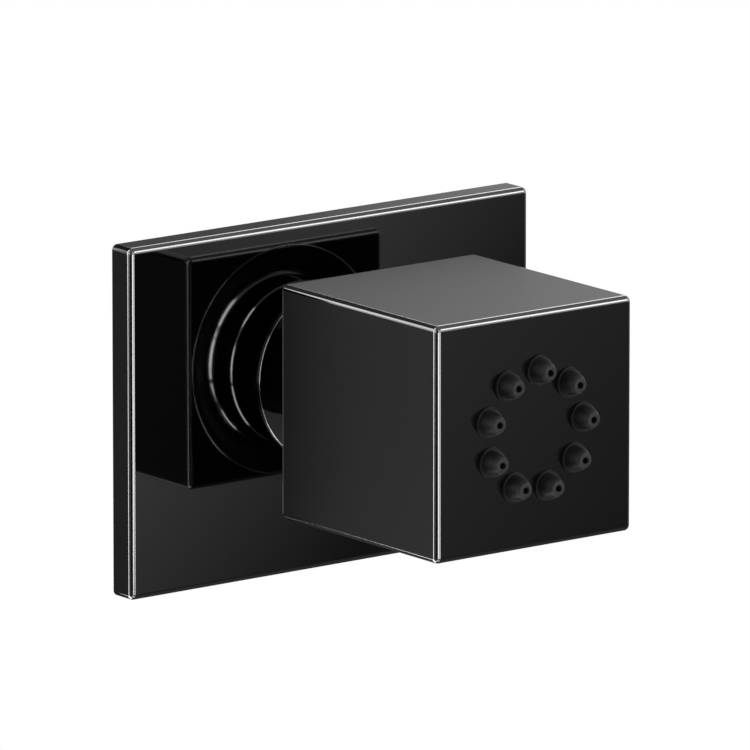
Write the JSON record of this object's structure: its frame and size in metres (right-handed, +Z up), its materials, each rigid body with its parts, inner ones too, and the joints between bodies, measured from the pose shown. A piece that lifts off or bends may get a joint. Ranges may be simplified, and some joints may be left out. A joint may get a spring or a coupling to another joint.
{
  "type": "shower body jet",
  "caption": "Square shower body jet on a rectangular wall plate: a spray head with a ring of soft nozzles swivels on a ball behind a turned collar.",
  "frame": {"origin": "where the axis of the inlet meets the wall, in the plane of the plate's back rim", "axes": "+Y into the wall along the inlet, the spray leaves towards -Y, +Z up, +X along the plate's long side"},
  "size_m": [0.084, 0.0815, 0.06],
  "materials": {
    "gloss_black": "gloss black on brass",
    "chrome": "polished chrome on brass",
    "brass": "machined brass",
    "screen_steel": "fine stainless screen",
    "acetal": "moulded acetal",
    "liner": "low friction liner",
    "silicone": "dark grey silicone",
    "seal_rubber": "black sealing rubber",
    "foam": "closed cell foam"
  },
  "bodies": {
    "base": {"wall_plate": "gloss_black", "plate_gasket": "foam", "inlet_nipple": "brass", "filter_screen": "screen_steel", "flow_limiter": "acetal", "limiter_ring": "seal_rubber", "collar": "gloss_black", "collar_o_ring": "seal_rubber", "ball_stem": "chrome", "stem_o_ring": "seal_rubber"},
    "pan_liner": {"rear_slip_liner": "liner"},
    "tilt_liner": {"front_slip_liner": "liner"},
    "head": {"head_shell": "gloss_black", "swivel_nut": "gloss_black", "nut_o_ring": "seal_rubber", "rear_ball_seat": "acetal", "front_ball_seat": "acetal", "front_seat_o_ring": "seal_rubber", "ball_seal": "seal_rubber", "diffuser": "acetal", "diffuser_o_ring": "seal_rubber", "backing_plate": "acetal", "nozzle_mat": "silicone"}
  },
  "joints": [
    {"name": "head_pan", "type": "hinge", "parent": "base", "child": "pan_liner", "pos_m": [0, -0.02675, 0], "axis": [0, 0, 1], "range_deg": [-10, 10]},
    {"name": "head_tilt", "type": "hinge", "parent": "pan_liner", "child": "tilt_liner", "pos_m": [0, -0.02675, 0], "axis": [1, 0, 0], "range_deg": [-10, 10]},
    {"name": "head_turn", "type": "hinge", "parent": "tilt_liner", "child": "head", "pos_m": [0, -0.02675, 0], "axis": [0, 1, 0], "continuous": true}
  ]
}
